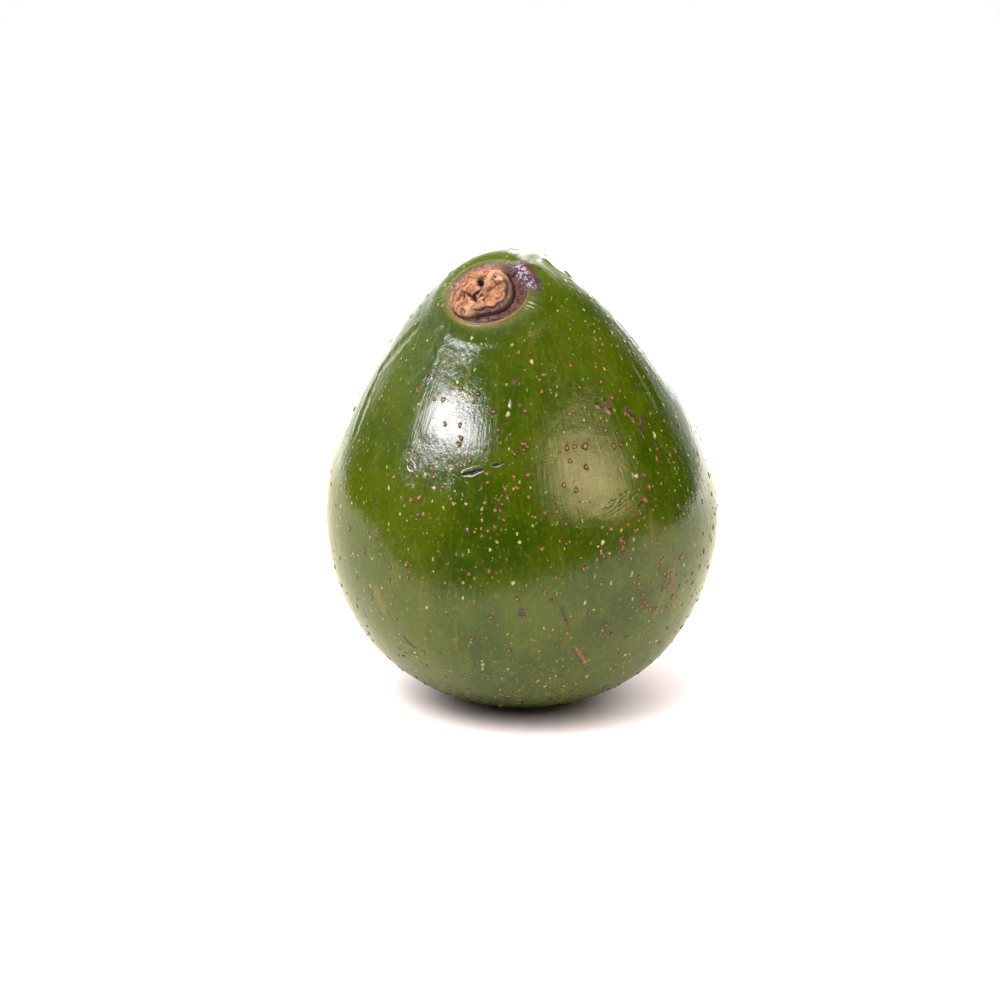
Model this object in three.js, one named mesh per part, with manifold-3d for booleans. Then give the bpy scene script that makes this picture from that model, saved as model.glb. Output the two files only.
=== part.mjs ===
// A whole avocado that stands on a small flat spot, with the woody button of its stalk.
// Millimetres, +Z up. The origin is the centre of the flat spot, and the stem end leans towards -Y.

import * as THREE from "three";
import { mergeVertices } from "three/addons/utils/BufferGeometryUtils.js";
import loadManifold from "manifold-3d";

// Body, in the fruit's own frame: the origin is the centre of its round lower part, +Z runs to the stem end
const bodyRadius = 40.2;
const neckRise = 0.346; // how far the stem end is drawn out, as a share of the radius
const neckRisePower = 6.2; // larger keeps the drawn-out part nearer the tip
const neckTaper = 0.147; // how much the stem end narrows, as a share of the radius
const neckTaperPower = 1.93;
const slowWaves = [ // gentle unevenness: how fast it runs along x, y and z, where it starts, its height
  { x: 1.4, y: 1.9, z: -0.8, start: 2.4, height: 0.5 },
  { x: -0.1, y: 3.1, z: 2.2, start: 1.2, height: -0.21 },
  { x: 3.8, y: -0.8, z: 6, start: 3.8, height: 0.3 },
];
const wavesBegin = -0.95; // the lowest part stays round, so that the flat spot is even
const wavesFull = -0.5;
const blossomTilt = 8; // degrees from the lower end of the axis, away from the lean, to the blossom scar
const blossomDepth = 0.9;
const blossomReach = 4.5;

// How it rests
const leanDegrees = 14; // stem end towards -Y
const rollDegrees = 2; // stem end towards -X
const flatSpotDepth = 1.0; // height of the round bottom that the flat spot takes away

// Stem scar: a slightly tilted facet beside the tip, seen in its own plane as right (u), up (v) and out (w)
const scarTilt = 15; // degrees between the axis and the direction in which the scar lies
const scarSwing = -35.5; // degrees from -Y round the axis to that direction
const facetTilt = 28; // degrees between the axis and the facet's own normal
const facetSwing = -36;
const facetSink = 1.5; // how far the facet lies under the round tip
const facetFlatness = 0.65; // 1 is a plane, 0 keeps the roundness of the tip
const facetEdge = 1.06; // where the soft edge round the facet begins and ends, as shares of the ring
const facetEnd = 1.8;
const reliefReach = 0.5; // cosine of the widest angle from the scar that its relief can reach
const ringOutline = { u: 0, v: 0, radius: 7.35, waves: [[2, 0.06, -20]] }; // each wave: count, share, turn
const lip = { share: 1.05, width: 0.08, height: 0.4 };
const swell = { share: 1.6, width: 0.45, height: 0.35 }; // low swelling of the flesh round the ring
const collar = { crackDepth: 1.5, edgeDepth: 0.5, roll: 1, edge: 0.98 };

// Wrinkled scab beside the ring, the furrow that runs on from it and the shoulder beyond
const scab = { u: 8.2, v: 2, turn: 8, across: 1.5, along: 3.3, height: 0.5, wrinkle: 0.3, wrinkleCount: 5.5 };
const furrow = { start: 2.5, end: 17, soft: 4, width: 1.8, depth: 0.8 };
const shoulder = { u: 11.5, v: 9.5, reach: 4.5, height: 0.6 };

// Stem button, and the seat cut for it in the fruit
const buttonOutline = {
  u: -0.75,
  v: -0.2,
  radius: 5.45,
  waves: [[2, 0.065, 17.5], [3, 0.07, -35], [4, 0.025, 35]],
};
const buttonTop = 1.4; // height of its worn face over the facet
const buttonRim = 1.1;
const buttonRoot = 2.6; // depth of its root under the facet
const buttonSide = [[1, 0.6], [1, -0.2], [0.92, -1.2]]; // share of the outline and height, downwards
const buttonLean = -0.08; // sideways shift for each millimetre of height
const faceRings = 6;
const seatGap = 0.3;
const tornWaves = [ // ridges of torn fibre: how fast they run along u and v, where they start, their height
  { x: 2.6, y: 1.1, z: 0, start: 0.4, height: 0.16 },
  { x: -0.9, y: 2.7, z: 0, start: 1.1, height: 0.16 },
  { x: 3.4, y: -2.6, z: 0, start: 2.2, height: 0.1 },
];
const tornPit = { u: -0.3, v: 2.6, reach: 1.1, depth: 1.3 };
const tornRidge = { fromU: 1.6, fromV: 2.2, toU: -0.5, toV: -1.2, reach: 0.8, height: 0.7 };

// Fineness
const skinSegments = 66;
const skinRings = 54;
const ringCrowding = 0.8; // draws the rings of the mesh towards the scar
const buttonSegments = 44;
const mergeReach = 1e-4;

const skinColour = 0x4a6b12;
const skinRoughness = 0.32;
const woodColour = 0xb07a4e;
const woodRoughness = 0.85;

const radians = THREE.MathUtils.degToRad;
const mix = THREE.MathUtils.lerp;
const smooth = THREE.MathUtils.smoothstep;
const hill = (distance, reach) => Math.exp(-((distance / reach) ** 2));

// Direction at an angle from the axis, swung round it from -Y towards +X
function direction(tilt, swing) {
  const sideways = Math.sin(radians(tilt));
  const x = sideways * Math.sin(radians(swing));
  const y = -sideways * Math.cos(radians(swing));
  return new THREE.Vector3(x, y, Math.cos(radians(tilt)));
}

const scarDirection = direction(scarTilt, scarSwing);
const blossomDirection = direction(180 - blossomTilt, 180);

function sumOfWaves(waves, x, y, z) {
  const wave = (w) => w.height * Math.sin(w.x * x + w.y * y + w.z * z + w.start);
  return waves.reduce((sum, each) => sum + wave(each), 0);
}

// Point of the plain body in a direction from its centre
function bodyPoint(d) {
  const climb = (1 + d.z) / 2;
  const narrow = 1 - neckTaper * climb ** neckTaperPower;
  const waves = sumOfWaves(slowWaves, d.x, d.y, d.z) * smooth(d.z, wavesBegin, wavesFull);
  const dimple = blossomDepth * hill(bodyRadius * d.angleTo(blossomDirection), blossomReach);
  const radius = bodyRadius + waves - dimple;
  const rise = neckRise * bodyRadius * climb ** neckRisePower;
  return new THREE.Vector3(d.x * radius * narrow, d.y * radius * narrow, d.z * radius + rise);
}

// The scar's plane
const facetNormal = direction(facetTilt, facetSwing);
const facetRight = new THREE.Vector3(1, 0, 0).addScaledVector(facetNormal, -facetNormal.x).normalize();
const facetUp = new THREE.Vector3().crossVectors(facetNormal, facetRight);
const facetCentre = bodyPoint(scarDirection).addScaledVector(facetNormal, -facetSink);
const facetFrame = new THREE.Matrix4()
  .makeBasis(facetRight, facetUp, facetNormal)
  .setPosition(facetCentre);
const facetFrameInverse = facetFrame.clone().invert();

// Radius of a wavy outline at an angle round its centre
function outlineRadius(outline, angle) {
  const wave = ([count, share, turn]) => share * Math.cos(count * (angle - radians(turn)));
  return outline.radius * outline.waves.reduce((sum, each) => sum + wave(each), 1);
}

// Distance from an outline's centre, as a share of its radius that way
function shareOf(outline, u, v) {
  const angle = Math.atan2(v - outline.v, u - outline.u);
  return Math.hypot(u - outline.u, v - outline.v) / outlineRadius(outline, angle);
}

// Height of the collar over the facet: a rounded roll between the crack at the button and the lip
function collarHeight(ringShare, buttonShare) {
  const fromButton = Math.max(buttonShare - 1, 0);
  const fromLip = Math.max(1 - ringShare, 0);
  const across = fromButton + fromLip > 0 ? fromButton / (fromButton + fromLip) : 1;
  return mix(-collar.crackDepth, -collar.edgeDepth, across) + collar.roll * Math.sin(Math.PI * across);
}

// Height of the scab, its furrow and the shoulder: the scab is a low mound with bumps in a row along it
function scabHeight(u, v) {
  const turn = radians(scab.turn);
  const across = (u - scab.u) * Math.cos(turn) + (v - scab.v) * Math.sin(turn);
  const along = (v - scab.v) * Math.cos(turn) - (u - scab.u) * Math.sin(turn);
  const bumps = scab.wrinkle * Math.cos((scab.wrinkleCount * along) / scab.along + across);
  const mound = (scab.height + bumps) * hill(Math.hypot(across / scab.across, along / scab.along), 1);
  const begins = smooth(along, furrow.start, furrow.start + furrow.soft);
  const ends = 1 - smooth(along, furrow.end - furrow.soft, furrow.end);
  const hollow = furrow.depth * hill(across, furrow.width) * begins * ends;
  const rise = shoulder.height * hill(Math.hypot(u - shoulder.u, v - shoulder.v), shoulder.reach);
  return mound - hollow + rise;
}

// Point of the finished skin in a direction from the centre
function skinPoint(d) {
  const local = bodyPoint(d).applyMatrix4(facetFrameInverse);
  if (d.dot(scarDirection) < reliefReach) return local.applyMatrix4(facetFrame);
  const { x: u, y: v, z: w } = local;
  const ringShare = shareOf(ringOutline, u, v);
  const collarRelief = collarHeight(ringShare, shareOf(buttonOutline, u, v));
  const facet = (1 - facetFlatness) * w + mix(collarRelief, 0, smooth(ringShare, collar.edge, facetEdge));
  const lipRelief = lip.height * hill(ringShare - lip.share, lip.width);
  const swelling = swell.height * hill(ringShare - swell.share, swell.width);
  const relief = lipRelief + swelling + scabHeight(u, v);
  local.z = mix(facet, w, smooth(ringShare, facetEdge, facetEnd)) + relief;
  return local.applyMatrix4(facetFrame);
}

// Keeps only the places of a geometry's points, with shared points merged
function merged(geometry) {
  geometry.deleteAttribute("normal");
  geometry.deleteAttribute("uv");
  return mergeVertices(geometry, mergeReach);
}

// Sphere mesh whose pole lies at the scar, with its rings crowded there, bent into the fruit
function skinGeometry() {
  const geometry = merged(new THREE.SphereGeometry(1, skinSegments, skinRings).rotateX(Math.PI / 2));
  const toScar = new THREE.Quaternion().setFromUnitVectors(new THREE.Vector3(0, 0, 1), scarDirection);
  const places = geometry.attributes.position;
  for (let i = 0; i < places.count; i += 1) {
    const polar = Math.acos(THREE.MathUtils.clamp(places.getZ(i), -1, 1));
    const around = Math.atan2(places.getY(i), places.getX(i));
    const crowded = polar - ringCrowding * Math.sin(polar);
    const sideways = Math.sin(crowded);
    const d = new THREE.Vector3(sideways * Math.cos(around), sideways * Math.sin(around), Math.cos(crowded));
    const place = skinPoint(d.applyQuaternion(toScar).normalize());
    places.setXYZ(i, place.x, place.y, place.z);
  }
  return geometry;
}

// Torn top of the button, in the scar's plane
function tornRelief(u, v) {
  const pit = tornPit.depth * hill(Math.hypot(u - tornPit.u, v - tornPit.v), tornPit.reach);
  const runU = tornRidge.toU - tornRidge.fromU;
  const runV = tornRidge.toV - tornRidge.fromV;
  const offset = (u - tornRidge.fromU) * runU + (v - tornRidge.fromV) * runV;
  const along = THREE.MathUtils.clamp(offset / (runU ** 2 + runV ** 2), 0, 1);
  const awayU = u - tornRidge.fromU - along * runU;
  const awayV = v - tornRidge.fromV - along * runV;
  const ridge = tornRidge.height * hill(Math.hypot(awayU, awayV), tornRidge.reach);
  return sumOfWaves(tornWaves, u, v, 0) + ridge - pit;
}

// Button, or the same grown by a gap: a turned blank, spread to the outline and torn on top
function buttonGeometry(gap) {
  const root = -buttonRoot - gap;
  const rootShares = [0, 0.42, 0.8];
  const faceShares = Array.from({ length: faceRings }, (_, i) => 0.9 * (1 - i / (faceRings - 1)));
  const blank = [
    ...rootShares.map((share) => new THREE.Vector2(share, root)),
    ...buttonSide.map(([share, height]) => new THREE.Vector2(share, height)).reverse(),
    new THREE.Vector2(0.97, buttonRim),
    ...faceShares.map((share) => new THREE.Vector2(share, buttonTop)),
  ];
  const geometry = merged(new THREE.LatheGeometry(blank, buttonSegments).rotateX(Math.PI / 2));
  const places = geometry.attributes.position;
  for (let i = 0; i < places.count; i += 1) {
    const share = Math.hypot(places.getX(i), places.getY(i));
    const angle = Math.atan2(places.getY(i), places.getX(i));
    const height = places.getZ(i);
    const radius = share * (outlineRadius(buttonOutline, angle) + gap);
    const shift = buttonLean * Math.max(height, 0);
    const u = buttonOutline.u + radius * Math.cos(angle) + shift;
    const v = buttonOutline.v + radius * Math.sin(angle) - shift;
    const torn = height > buttonRim ? tornRelief(u, v) : 0;
    places.setXYZ(i, u, v, height + torn);
  }
  return geometry.applyMatrix4(facetFrame);
}

const wasm = await loadManifold();
wasm.setup();

function toSolid(geometry) {
  const vertProperties = new Float32Array(geometry.attributes.position.array);
  const triVerts = new Uint32Array(geometry.index.array);
  return new wasm.Manifold(new wasm.Mesh({ numProp: 3, vertProperties, triVerts }));
}

function toGeometry(solid) {
  const { vertProperties, triVerts } = solid.getMesh();
  const geometry = new THREE.BufferGeometry();
  geometry.setAttribute("position", new THREE.BufferAttribute(vertProperties, 3));
  geometry.setIndex(new THREE.BufferAttribute(triVerts, 1));
  return geometry;
}

// Stands the fruit up: its lean and roll, and its centre over the flat spot
const resting = new THREE.Matrix4()
  .makeRotationY(radians(-rollDegrees))
  .multiply(new THREE.Matrix4().makeRotationX(radians(leanDegrees)))
  .setPosition(0, 0, bodyRadius - flatSpotDepth);

function groundGeometry() {
  const side = 4 * bodyRadius;
  return merged(new THREE.BoxGeometry(side, side, bodyRadius).translate(0, 0, -bodyRadius / 2));
}

function buildFruit() {
  const skin = toSolid(skinGeometry().applyMatrix4(resting));
  const seat = toSolid(buttonGeometry(seatGap).applyMatrix4(resting));
  const solid = skin.subtract(seat).subtract(toSolid(groundGeometry()));
  const material = new THREE.MeshStandardMaterial({
    color: skinColour,
    roughness: skinRoughness,
    metalness: 0,
  });
  const fruit = new THREE.Mesh(toGeometry(solid), material);
  fruit.name = "fruit";
  return fruit;
}

function buildStemButton() {
  const material = new THREE.MeshStandardMaterial({
    color: woodColour,
    roughness: woodRoughness,
    metalness: 0,
  });
  const button = new THREE.Mesh(buttonGeometry(0).applyMatrix4(resting), material);
  button.name = "stem_button";
  return button;
}

const avocado = new THREE.Group();
avocado.add(buildFruit(), buildStemButton());

export default avocado;
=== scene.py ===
import math
import random

import bmesh
import bpy
import numpy as np
from mathutils import Matrix, Vector, noise
from mathutils.bvhtree import BVHTree


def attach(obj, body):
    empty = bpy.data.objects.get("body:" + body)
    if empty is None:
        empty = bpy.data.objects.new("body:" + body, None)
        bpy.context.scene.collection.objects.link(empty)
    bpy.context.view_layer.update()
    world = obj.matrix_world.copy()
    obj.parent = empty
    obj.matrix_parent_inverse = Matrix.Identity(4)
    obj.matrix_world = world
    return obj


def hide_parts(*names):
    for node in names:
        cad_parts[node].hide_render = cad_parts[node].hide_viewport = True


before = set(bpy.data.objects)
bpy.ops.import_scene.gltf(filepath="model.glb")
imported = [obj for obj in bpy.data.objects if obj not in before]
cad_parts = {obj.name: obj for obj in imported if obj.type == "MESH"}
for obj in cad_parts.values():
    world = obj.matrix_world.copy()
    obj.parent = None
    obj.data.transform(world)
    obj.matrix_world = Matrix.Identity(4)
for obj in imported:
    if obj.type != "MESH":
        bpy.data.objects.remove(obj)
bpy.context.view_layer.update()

# Lengths are in millimetres until a mesh is written; the scene itself is in metres
mm = 0.001

# The fruit's own frame: origin at the centre of its round lower part, +Z towards the stem end
body = {
    "radius": 40.2, "neckRise": 0.346, "neckRisePower": 6.2, "neckTaper": 0.147,
    "neckTaperPower": 1.93, "wavesBegin": -0.95, "wavesFull": -0.5, "blossomTilt": 8,
    "blossomDepth": 0.9, "blossomReach": 4.5, "lean": 14, "roll": 2, "flatSpot": 1.0,
}
slowWaves = [
    {"x": 1.4, "y": 1.9, "z": -0.8, "start": 2.4, "height": 0.5},
    {"x": -0.1, "y": 3.1, "z": 2.2, "start": 1.2, "height": -0.21},
    {"x": 3.8, "y": -0.8, "z": 6, "start": 3.8, "height": 0.3},
]
facet = {
    "scarTilt": 15, "scarSwing": -35.5, "tilt": 28, "swing": -36, "sink": 1.5, "flatness": 0.65,
    "edge": 1.06, "end": 1.8, "reliefReach": 0.5,
}
ringOutline = {"u": 0, "v": 0, "radius": 7.35, "waves": [[2, 0.06, -20]]}
buttonOutline = {
    "u": -0.75,
    "v": -0.2,
    "radius": 5.45,
    "waves": [[2, 0.065, 17.5], [3, 0.07, -35], [4, 0.025, 35]],
}
collar = {
    "crack": 1.5, "edgeDepth": 0.5, "roll": 1.0, "edge": 0.98, "seat": 1.4, "seatFrom": 0.97,
    "seatTo": 1.04, "steep": 0.72,
}
lip = {"share": 1.05, "width": 0.08, "height": 0.4}
swell = {"share": 1.6, "width": 0.45, "height": 0.35}
scab = {
    "u": 8.2, "v": 2, "turn": 8, "across": 1.5, "along": 3.3, "height": 0.5, "wrinkle": 0.3,
    "wrinkleCount": 5.5, "bead": 0.16, "beadStep": 0.95, "beadsAcross": 1.35, "beadsAlong": 3.2,
    "beadSharpness": 1.2,
}
furrow = {"start": 2.5, "end": 17, "soft": 4, "width": 1.8, "depth": 0.8}
shoulder = {"u": 11.5, "v": 9.5, "reach": 4.5, "height": 0.6}

# The main view, which the marks of the front are placed by: pixels of a square image
mainView = {
    "elevation": 16, "distance": 799.9, "focal": 4040, "column": 522.5, "row": 504.7, "side": 1000,
    "sensor": 36,
}


def hill(distance, reach):
    return np.exp(-((distance / reach) ** 2))


def smooth(x, low, high):
    t = np.clip((x - low) / (high - low), 0, 1)
    return t * t * (3 - 2 * t)


def direction(tilt, swing):
    sideways = math.sin(math.radians(tilt))
    turn = math.radians(swing)
    return np.array([sideways * math.sin(turn), -sideways * math.cos(turn), math.cos(math.radians(tilt))])


scarDirection = direction(facet["scarTilt"], facet["scarSwing"])
blossomDirection = direction(180 - body["blossomTilt"], 180)


def bodyPoints(d):
    climb = (1 + d[:, 2]) / 2
    narrow = 1 - body["neckTaper"] * climb ** body["neckTaperPower"]
    waves = sum(
        w["height"] * np.sin(w["x"] * d[:, 0] + w["y"] * d[:, 1] + w["z"] * d[:, 2] + w["start"])
        for w in slowWaves
    )
    waves = waves * smooth(d[:, 2], body["wavesBegin"], body["wavesFull"])
    away = np.arccos(np.clip(d @ blossomDirection, -1, 1))
    dimple = body["blossomDepth"] * hill(body["radius"] * away, body["blossomReach"])
    radius = body["radius"] + waves - dimple
    rise = body["neckRise"] * body["radius"] * climb ** body["neckRisePower"]
    return np.stack([d[:, 0] * radius * narrow, d[:, 1] * radius * narrow, d[:, 2] * radius + rise], 1)


facetNormal = direction(facet["tilt"], facet["swing"])
facetRight = np.array([1.0, 0, 0]) - facetNormal[0] * facetNormal
facetRight /= np.linalg.norm(facetRight)
facetUp = np.cross(facetNormal, facetRight)
facetAxes = np.stack([facetRight, facetUp, facetNormal])
facetCentre = bodyPoints(scarDirection[None])[0] - facet["sink"] * facetNormal


def outlineRadius(outline, angle):
    waves = 0
    for count, share, turn in outline["waves"]:
        waves = waves + share * np.cos(count * (angle - math.radians(turn)))
    return outline["radius"] * (1 + waves)


def shareOf(outline, u, v):
    angle = np.arctan2(v - outline["v"], u - outline["u"])
    return np.hypot(u - outline["u"], v - outline["v"]) / outlineRadius(outline, angle)


def collarHeight(ringShare, buttonShare):
    fromButton = np.maximum(buttonShare - 1, 0)
    fromLip = np.maximum(1 - ringShare, 0)
    across = np.where(fromButton + fromLip > 0, fromButton / np.maximum(fromButton + fromLip, 1e-9), 1)
    across = across ** collar["steep"]
    depth = -collar["crack"] + (collar["crack"] - collar["edgeDepth"]) * across
    seat = collar["seat"] * (1 - smooth(buttonShare, collar["seatFrom"], collar["seatTo"]))
    return depth + collar["roll"] * np.sin(math.pi * across) - seat


# Distances across and along a patch that is turned on the facet
def patchPlace(patch, u, v):
    turn = math.radians(patch["turn"])
    across = (u - patch["u"]) * math.cos(turn) + (v - patch["v"]) * math.sin(turn)
    along = (v - patch["v"]) * math.cos(turn) - (u - patch["u"]) * math.sin(turn)
    return across, along


def scabHeight(u, v):
    across, along = patchPlace(scab, u, v)
    bumps = scab["wrinkle"] * np.cos(scab["wrinkleCount"] * along / scab["along"] + across)
    mound = (scab["height"] + bumps) * hill(np.hypot(across / scab["across"], along / scab["along"]), 1)
    begins = smooth(along, furrow["start"], furrow["start"] + furrow["soft"])
    ends = 1 - smooth(along, furrow["end"] - furrow["soft"], furrow["end"])
    hollow = furrow["depth"] * hill(across, furrow["width"]) * begins * ends
    rise = shoulder["height"] * hill(np.hypot(u - shoulder["u"], v - shoulder["v"]), shoulder["reach"])
    return mound - hollow + rise


def beadShare(u, v):
    across, along = patchPlace(scab, u, v)
    step = math.pi / scab["beadStep"]
    rows = 0.5 + 0.5 * np.cos(2 * step * along + 1.4 * np.sin(2.1 * across))
    columns = 0.5 + 0.5 * np.cos(1.6 * step * across + 0.9 * np.sin(1.7 * along))
    inside = smooth(-np.hypot(across / scab["beadsAcross"], along / scab["beadsAlong"]), -1.05, -0.75)
    return (rows * columns) ** scab["beadSharpness"] * inside


def skinPoints(d):
    local = (bodyPoints(d) - facetCentre) @ facetAxes.T
    u, v, w = local.T
    ringShare = shareOf(ringOutline, u, v)
    relief = collarHeight(ringShare, shareOf(buttonOutline, u, v))
    flat = (1 - facet["flatness"]) * w + relief * (1 - smooth(ringShare, collar["edge"], facet["edge"]))
    raised = lip["height"] * hill(ringShare - lip["share"], lip["width"])
    raised = raised + swell["height"] * hill(ringShare - swell["share"], swell["width"])
    raised = raised + scabHeight(u, v) + scab["bead"] * beadShare(u, v)
    share = smooth(ringShare, facet["edge"], facet["end"])
    near = d @ scarDirection >= facet["reliefReach"]
    local[:, 2] = np.where(near, flat + (w - flat) * share + raised, w)
    return local @ facetAxes + facetCentre


lean = math.radians(body["lean"])
roll = math.radians(-body["roll"])
resting = np.array(Matrix.Rotation(roll, 3, "Y") @ Matrix.Rotation(lean, 3, "X"))
standing = np.array([0, 0, body["radius"] - body["flatSpot"]])


def atRest(points):
    return points @ resting.T + standing


def ownFrame(points):
    return (points - standing) @ resting


# The view's axes, and the place that is seen at one of its pixels
tilt = math.radians(mainView["elevation"])
viewRight = Vector((1, 0, 0))
viewForward = Vector((0, math.cos(tilt), -math.sin(tilt)))
viewUp = viewRight.cross(viewForward)
viewPlace = Vector(standing) - viewForward * mainView["distance"]


def cast(surface, pixel):
    right = (pixel[0] - mainView["column"]) / mainView["focal"]
    down = (pixel[1] - mainView["row"]) / mainView["focal"]
    ray = (viewForward + viewRight * right - viewUp * down).normalized()
    place, normal, _, _ = surface.ray_cast(viewPlace * mm, ray)
    return np.array(place) / mm, np.array(normal)


def readVectors(mesh, name):
    flat = np.zeros(len(mesh.vertices) * 3, np.float32)
    mesh.vertices.foreach_get(name, flat)
    return flat.reshape(-1, 3).astype(float)


def writePoints(mesh, points):
    mesh.vertices.foreach_set("co", points.astype(np.float32).ravel())
    mesh.update()


def writeLayer(mesh, name, values):
    kind, field = ("FLOAT", "value") if values.ndim == 1 else ("FLOAT_VECTOR", "vector")
    layer = mesh.attributes.new(name, kind, "POINT")
    layer.data.foreach_set(field, values.astype(np.float32).ravel())


def addObject(name, data):
    made = bpy.data.objects.new(name, data)
    bpy.context.scene.collection.objects.link(made)
    return made


def addPiece(name, mesh, material, replaced=None):
    piece = addObject(name, mesh)
    mesh.materials.append(material)
    mesh.polygons.foreach_set("use_smooth", [True] * len(mesh.polygons))
    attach(piece, "root")
    if replaced:
        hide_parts(replaced)


# A round blank, and the mesh that it is first written to
def roundBlank(name, shape):
    bm = bmesh.new()
    bmesh.ops.create_uvsphere(bm, u_segments=shape["around"], v_segments=shape["rings"], radius=1)
    mesh = bpy.data.meshes.new(name)
    bm.to_mesh(mesh)
    return bm, mesh


# Node trees: an input given as a socket is linked, anything else is set on the node's own socket
def setInputs(tree, node, inputs):
    for key, value in inputs.items():
        if isinstance(value, bpy.types.NodeSocket):
            tree.links.new(value, node.inputs[key])
        else:
            node.inputs[key].default_value = value


def addNode(tree, kind, inputs=None, **settings):
    made = tree.nodes.new("ShaderNode" + kind)
    for name, value in settings.items():
        setattr(made, name, value)
    setInputs(tree, made, inputs or {})
    return made


def calculate(tree, operation, *values):
    return addNode(tree, "Math", dict(enumerate(values)), operation=operation).outputs[0]


def times(tree, first, second):
    return calculate(tree, "MULTIPLY", first, second)


# Adds each layer of (value, weight) to the total
def stack(tree, total, layers):
    for value, weight in layers:
        total = calculate(tree, "MULTIPLY_ADD", value, weight, total)
    return total


def ramp(tree, value, low, high, start=0.0, end=1.0):
    inputs = {"Value": value, "From Min": low, "From Max": high, "To Min": start, "To Max": end}
    return addNode(tree, "MapRange", inputs, interpolation_type="SMOOTHSTEP").outputs[0]


def mixColour(tree, share, first, second):
    colours = {6: first, 7: second}
    for key, value in colours.items():
        if isinstance(value, tuple):
            colours[key] = (*value, 1)
    return addNode(tree, "Mix", {0: share, **colours}, data_type="RGBA").outputs[2]


def attribute(tree, name, output="Fac"):
    return addNode(tree, "Attribute", attribute_name=name).outputs[output]


def scaled(tree, vector, scales):
    return addNode(tree, "VectorMath", {0: vector, 1: scales}, operation="MULTIPLY").outputs[0]


def noiseInputs(vector, scale, detail=2.0, roughness=0.5):
    return {"Vector": vector, "Scale": scale, "Detail": detail, "Roughness": roughness}


def noiseOf(tree, *values):
    return addNode(tree, "TexNoise", noiseInputs(*values)).outputs["Fac"]


# How far a noise is from its middle: small along winding creases
def buildCreases():
    group = bpy.data.node_groups.new("creases", "ShaderNodeTree")
    face = group.interface
    face.new_socket("Vector", in_out="INPUT", socket_type="NodeSocketVector")
    for name, value in {"Scale": 1000, "Detail": 2, "Roughness": 0.5}.items():
        face.new_socket(name, in_out="INPUT", socket_type="NodeSocketFloat").default_value = value
    face.new_socket("Away", in_out="OUTPUT", socket_type="NodeSocketFloat")
    given = group.nodes.new("NodeGroupInput").outputs
    level = noiseOf(group, given["Vector"], given["Scale"], given["Detail"], given["Roughness"])
    away = calculate(group, "ABSOLUTE", calculate(group, "SUBTRACT", level, 0.5))
    group.links.new(away, group.nodes.new("NodeGroupOutput").inputs["Away"])
    return group


def creasesOf(tree, *values):
    return addNode(tree, "Group", noiseInputs(*values), node_tree=creaseGroup).outputs["Away"]


def cellsOf(tree, vector, scale):
    return addNode(tree, "TexVoronoi", {"Vector": vector, "Scale": scale})


def bump(tree, height, distance, below=None):
    inputs = {"Height": height, "Distance": distance}
    if below is not None:
        inputs["Normal"] = below
    return addNode(tree, "Bump", inputs).outputs[0]


def newMaterial(name):
    material = bpy.data.materials.new(name)
    material.use_nodes = True
    tree = material.node_tree
    place = addNode(tree, "TexCoord").outputs["Object"]
    return material, tree, tree.nodes["Principled BSDF"], place


# Lays the paints over a colour, each by its share or else by the attribute of its name
def overlay(tree, colour, paint, shares):
    for name, share in shares.items():
        if share is None:
            share = attribute(tree, name)
        colour = mixColour(tree, share, colour, paint[name])
    return colour


skin = {
    "around": 320, "rings": 212, "crowding": 0.62, "markMargin": 1.3, "markCuts": 3,
    "upperFrom": 20, "teeth": 74,
}
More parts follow.
